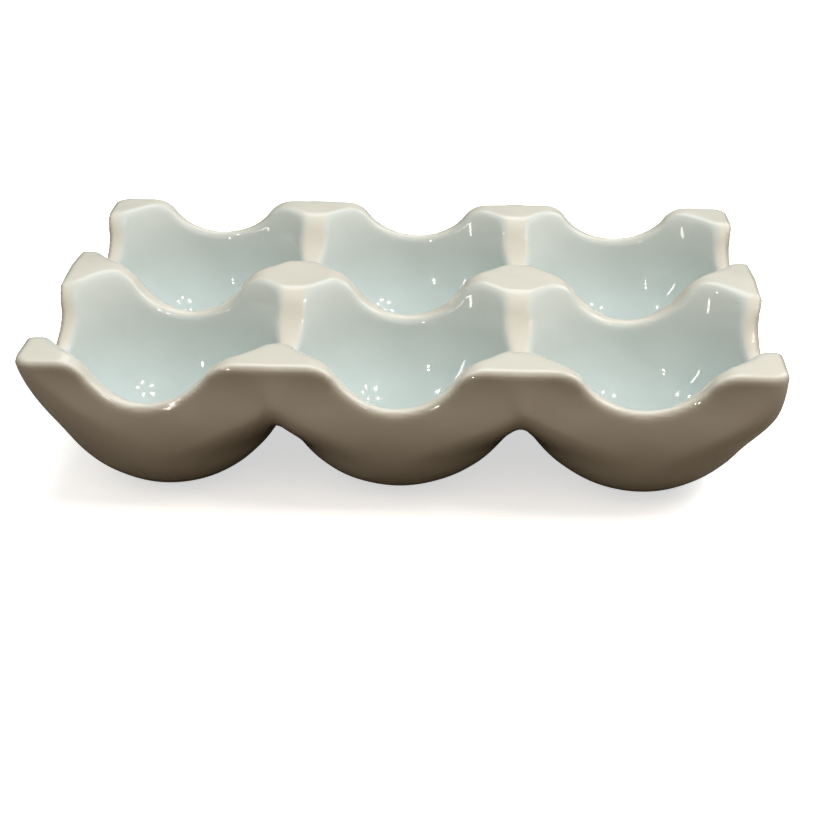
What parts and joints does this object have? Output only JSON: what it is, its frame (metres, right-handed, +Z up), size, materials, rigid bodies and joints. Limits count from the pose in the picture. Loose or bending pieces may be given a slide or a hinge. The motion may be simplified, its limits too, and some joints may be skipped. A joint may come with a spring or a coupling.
{
  "type": "egg holder tray",
  "caption": "Glazed porcelain egg holder tray: rows of round-bottomed cups, with dipped walls and flat-topped posts between them.",
  "frame": {"origin": "on the table, under the middle of the tray", "axes": "+X along the rows of cups, which is the tray's long side, +Y from the front row to the back row, +Z up out of the cups"},
  "size_m": [0.155, 0.105, 0.036],
  "materials": {
    "glazed_porcelain": "gloss glaze, pale cream on the rim, faint blue-green inside the cups"
  },
  "bodies": {
    "root": {"egg_tray": "glazed_porcelain"}
  },
  "joints": []
}
